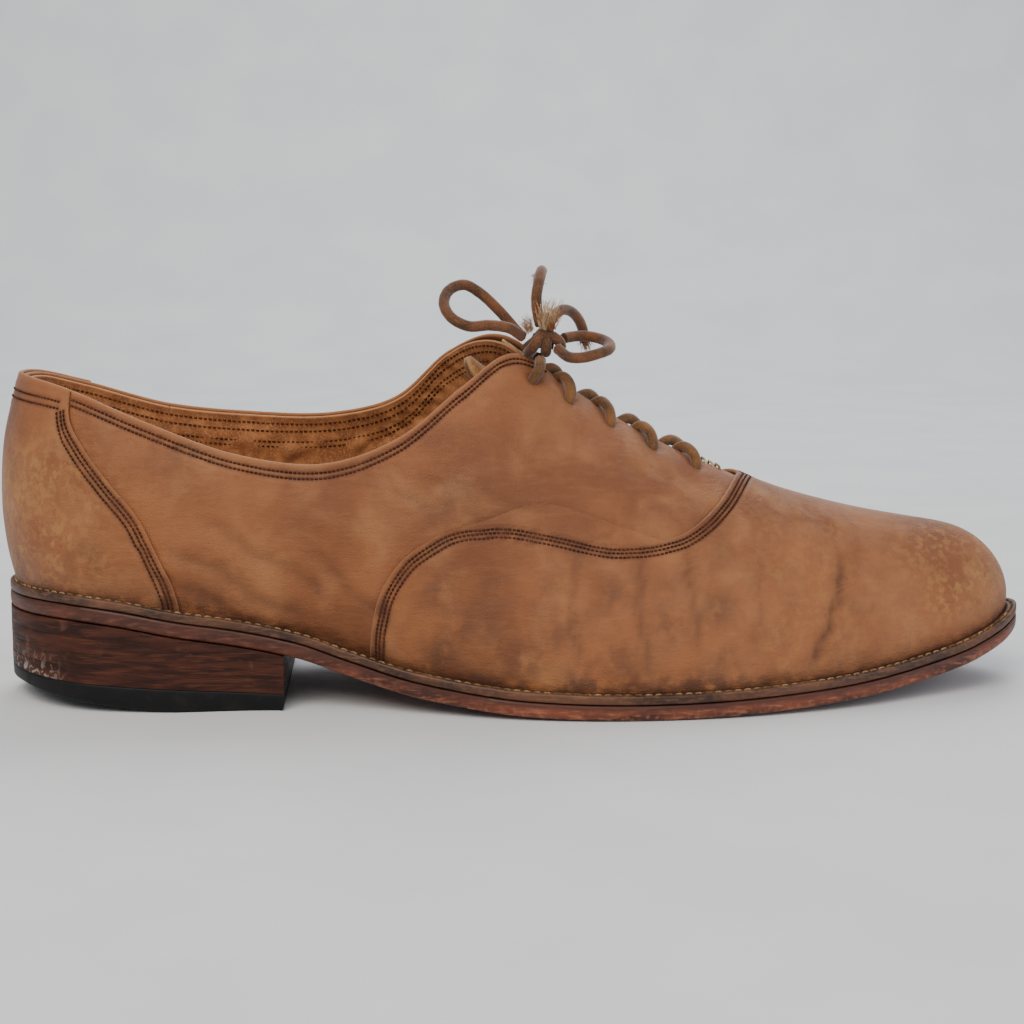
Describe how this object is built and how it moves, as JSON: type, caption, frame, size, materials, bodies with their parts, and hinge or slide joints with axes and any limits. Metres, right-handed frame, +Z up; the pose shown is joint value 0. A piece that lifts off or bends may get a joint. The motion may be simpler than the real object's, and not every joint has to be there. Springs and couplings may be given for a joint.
{
  "type": "leather oxford shoe",
  "caption": "Worn plain-toe laced oxford in tan leather with a welted leather sole, stacked heel with rubber top piece, and a tied round lace.",
  "frame": {"origin": "on the ground, under the middle of the shoe without its free lace", "axes": "+X from heel to toe, +Y towards the inner side of the foot, +Z up"},
  "size_m": [0.3116, 0.105, 0.128],
  "materials": {
    "upper_leather": "aniline calf, scuffed and waxed",
    "tongue_leather": "raw-edged calf",
    "lining_suede": "napped lining leather",
    "lining_drill": "cotton drill",
    "stiffener_board": "leather board",
    "insole_leather": "vegetable-tanned",
    "cork": "ground cork",
    "welt_leather": "burnished strip",
    "sole_leather": "waxed edge",
    "stacked_leather": "stacked, waxed edge",
    "heel_rubber": "worn",
    "steel": "bright",
    "brass": "rolled",
    "waxed_lace": "round braid, waxed",
    "linen_thread": "twisted"
  },
  "bodies": {
    "shoe": {"vamp": "upper_leather", "quarter_lateral": "upper_leather", "quarter_medial": "upper_leather", "counter_cover": "upper_leather", "heel_lining": "lining_suede", "quarter_lining_lateral": "lining_suede", "quarter_lining_medial": "lining_suede", "heel_sock": "lining_suede", "vamp_lining": "lining_drill", "facing_stay_lateral": "lining_drill", "facing_stay_medial": "lining_drill", "insole_rib": "lining_drill", "heel_stiffener": "stiffener_board", "toe_puff": "stiffener_board", "insole": "insole_leather", "cork_filler": "cork", "welt": "welt_leather", "outsole": "sole_leather", "heel_lift_1": "stacked_leather", "heel_lift_2": "stacked_leather", "heel_lift_3": "stacked_leather", "heel_lift_4": "stacked_leather", "top_piece": "heel_rubber", "shank": "steel", "heel_nail_1": "steel", "heel_nail_2": "steel", "heel_nail_3": "steel", "heel_nail_4": "steel", "heel_nail_5": "steel", "top_piece_nail_1": "steel", "top_piece_nail_2": "steel", "top_piece_nail_3": "steel", "top_piece_nail_4": "steel", "top_piece_nail_5": "steel", "top_piece_nail_6": "steel", "eyelet_lateral_1": "brass", "eyelet_lateral_2": "brass", "eyelet_lateral_3": "brass", "eyelet_lateral_4": "brass", "eyelet_lateral_5": "brass", "eyelet_medial_1": "brass", "eyelet_medial_2": "brass", "eyelet_medial_3": "brass", "eyelet_medial_4": "brass", "eyelet_medial_5": "brass", "lace_threaded": "waxed_lace", "lace_knot": "waxed_lace", "lace_loop_rear": "waxed_lace", "lace_loop_front": "waxed_lace", "lace_end_upright": "waxed_lace", "lace_end_short": "waxed_lace", "bar_tack": "linen_thread"},
    "tongue": {"tongue": "tongue_leather"}
  },
  "joints": [
    {"name": "tongue_swing", "type": "hinge", "parent": "shoe", "child": "tongue", "pos_m": [0.0745, -0.002, 0.056], "axis": [0, -1, 0], "range_deg": [0, 9]}
  ]
}
